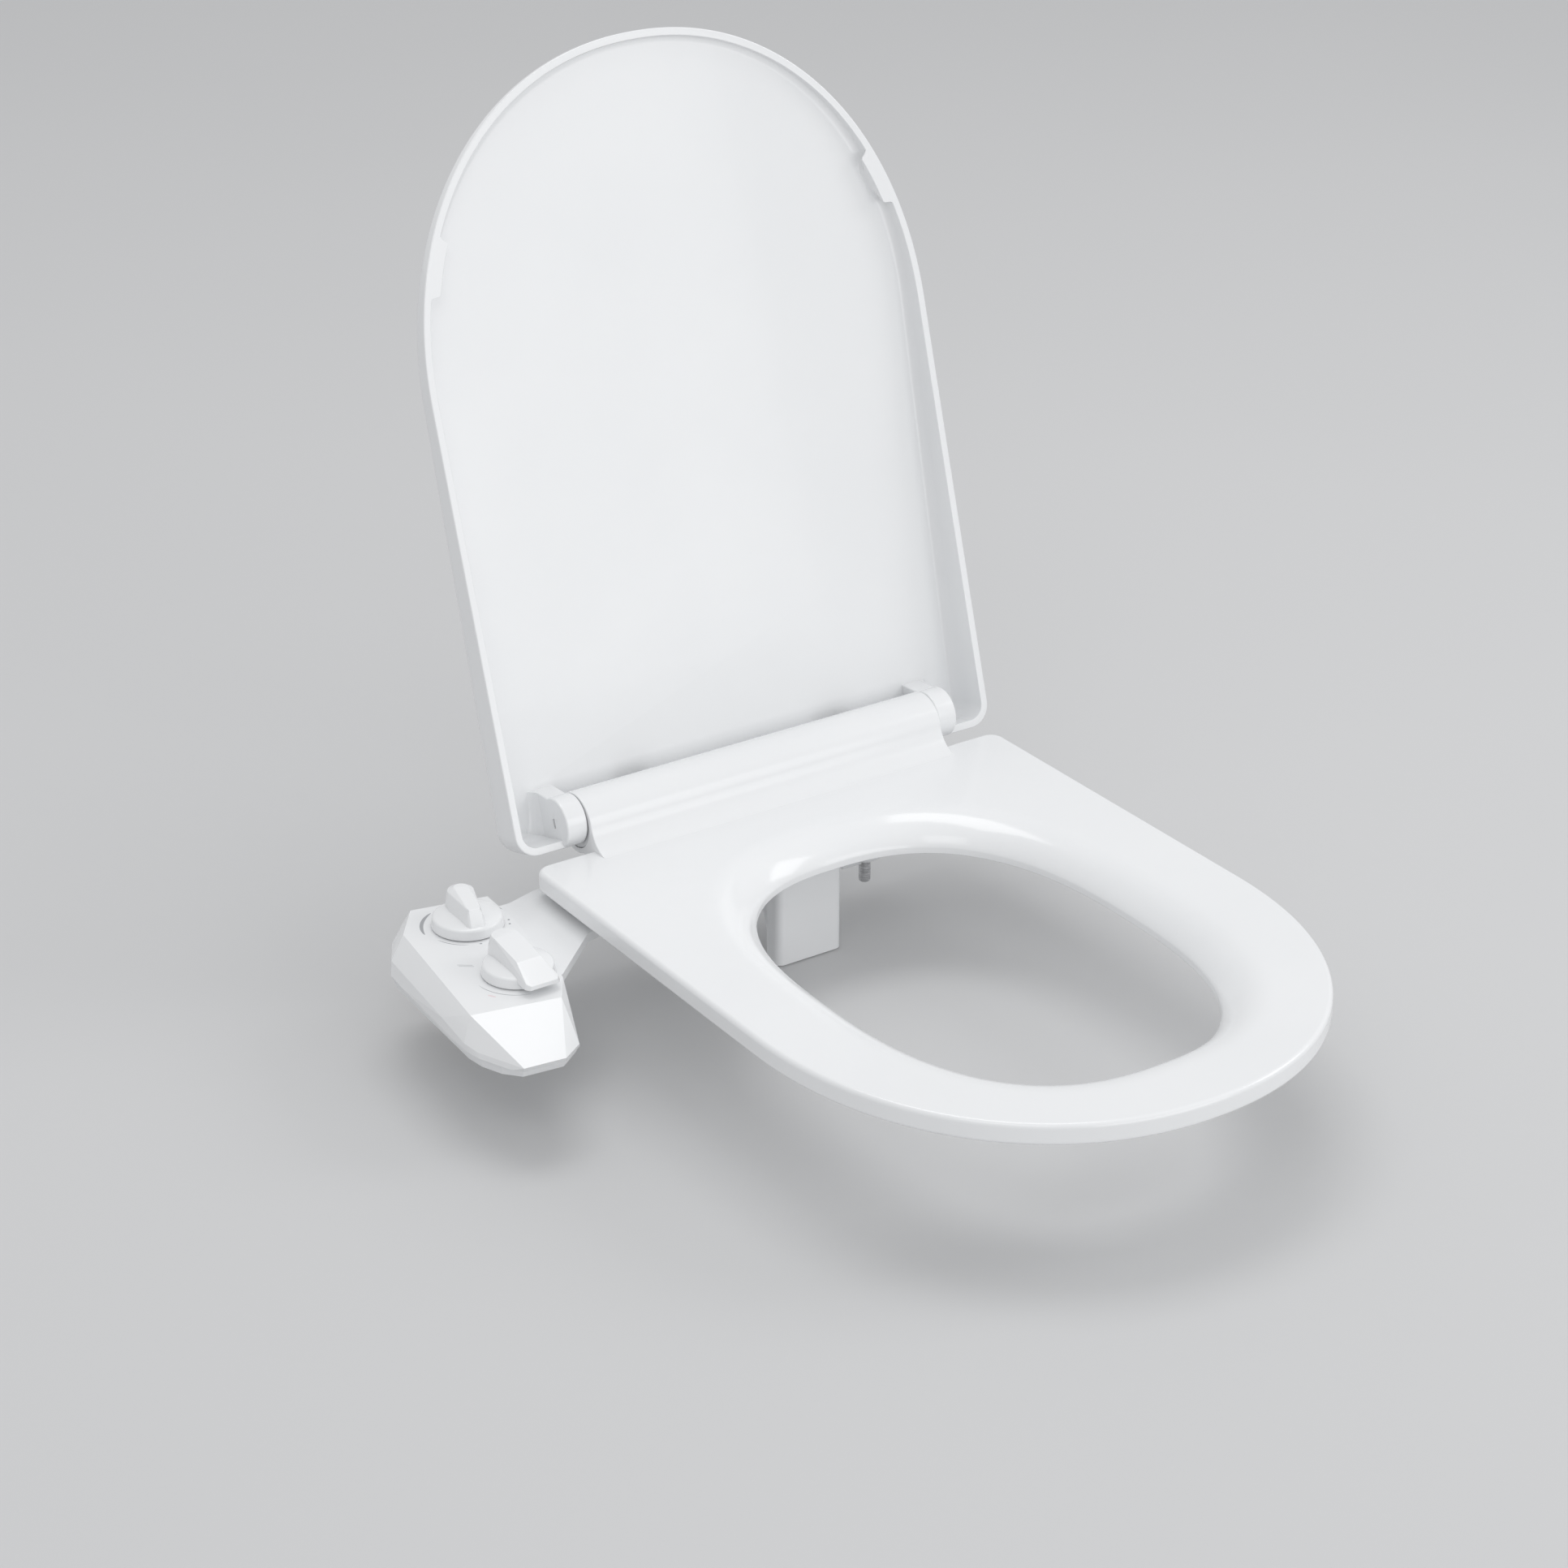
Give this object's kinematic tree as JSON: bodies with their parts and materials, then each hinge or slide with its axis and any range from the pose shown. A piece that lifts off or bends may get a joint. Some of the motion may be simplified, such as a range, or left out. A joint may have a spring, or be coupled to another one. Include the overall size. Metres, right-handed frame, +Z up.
{
  "type": "bidet seat",
  "caption": "Water-driven bidet toilet seat with a soft-close lid and ring, a side control panel with rotary knobs, and retracting nozzles behind a swinging guard gate.",
  "frame": {"origin": "midway between the two mounting bolts, on the plane of the bowl's deck, at the underside of the bidet plate", "axes": "+Z up, -Y towards the front of the bowl, +X to the right as seen from the front"},
  "size_m": [0.4778, 0.6125, 0.5612],
  "materials": {
    "white_plastic": "glossy moulded white",
    "soft_white_plastic": "satin moulded white",
    "grey_plastic": "satin grey",
    "rubber": "matt",
    "steel": "turned",
    "brass": "turned",
    "clear_tube": "smooth milky tube"
  },
  "bodies": {
    "base": {"bidet_plate": "white_plastic", "slotted_disc_left": "soft_white_plastic", "slotted_disc_right": "soft_white_plastic", "hinge_post_left": "soft_white_plastic", "hinge_post_right": "soft_white_plastic", "lid_damper_body": "grey_plastic", "hinge_sleeve_right": "grey_plastic", "seat_damper_body": "grey_plastic", "mounting_bolt_left": "steel", "mounting_bolt_right": "steel", "rubber_washer_left": "rubber", "rubber_washer_right": "rubber", "wing_nut_left": "soft_white_plastic", "wing_nut_right": "soft_white_plastic", "panel_top_shell": "white_plastic", "panel_bottom_shell": "soft_white_plastic", "pressure_valve_body": "soft_white_plastic", "selector_valve_body": "soft_white_plastic", "valve_link_tube": "clear_tube", "inlet_fitting": "brass", "inlet_filter_washer": "rubber", "rear_water_tube": "clear_tube", "front_water_tube": "clear_tube", "nozzle_housing": "soft_white_plastic", "gate_pin": "steel"},
    "seat": {"seat_ring": "white_plastic", "rear_bumper_left": "rubber", "rear_bumper_right": "rubber", "front_bumper_left": "rubber", "front_bumper_right": "rubber", "barrel_bush_left": "soft_white_plastic", "barrel_bush_right": "soft_white_plastic", "seat_damper_shaft": "steel"},
    "lid": {"lid_cover": "white_plastic", "lid_damper_shaft": "steel", "lid_pivot_pin": "steel"},
    "pressure_control": {"pressure_knob": "white_plastic", "pressure_valve_stem": "brass"},
    "selector_control": {"selector_knob": "white_plastic", "selector_valve_stem": "brass"},
    "rear_wash": {"rear_nozzle": "white_plastic"},
    "front_wash": {"front_nozzle": "white_plastic"},
    "gate": {"guard_gate": "white_plastic"}
  },
  "joints": [
    {"name": "lid_hinge", "type": "hinge", "parent": "base", "child": "lid", "pos_m": [0, 0.0155, 0.036], "axis": [-1, 0, 0], "range_deg": [-107.6, 0]},
    {"name": "seat_hinge", "type": "hinge", "parent": "base", "child": "seat", "pos_m": [0, 0.0155, 0.036], "axis": [-1, 0, 0], "range_deg": [0, 104]},
    {"name": "pressure_turn", "type": "hinge", "parent": "base", "child": "pressure_control", "pos_m": [-0.233, -0.019, 0.008], "axis": [0, 0, 1], "range_deg": [-135, 135]},
    {"name": "selector_turn", "type": "hinge", "parent": "base", "child": "selector_control", "pos_m": [-0.238, -0.088, 0.008], "axis": [0, 0, 1], "range_deg": [-60, 60]},
    {"name": "rear_nozzle_slide", "type": "slide", "parent": "base", "child": "rear_wash", "axis": [0, -0.309, -0.9511], "range_m": [0, 0.032], "stiffness_N_per_m": 60, "springref_m": -0.008},
    {"name": "front_nozzle_slide", "type": "slide", "parent": "base", "child": "front_wash", "axis": [0, -0.309, -0.9511], "range_m": [0, 0.032], "stiffness_N_per_m": 60, "springref_m": -0.008},
    {"name": "gate_hinge", "type": "hinge", "parent": "base", "child": "gate", "pos_m": [0, -0.044, -0.0065], "axis": [-1, 0, 0], "range_deg": [0, 65]}
  ]
}
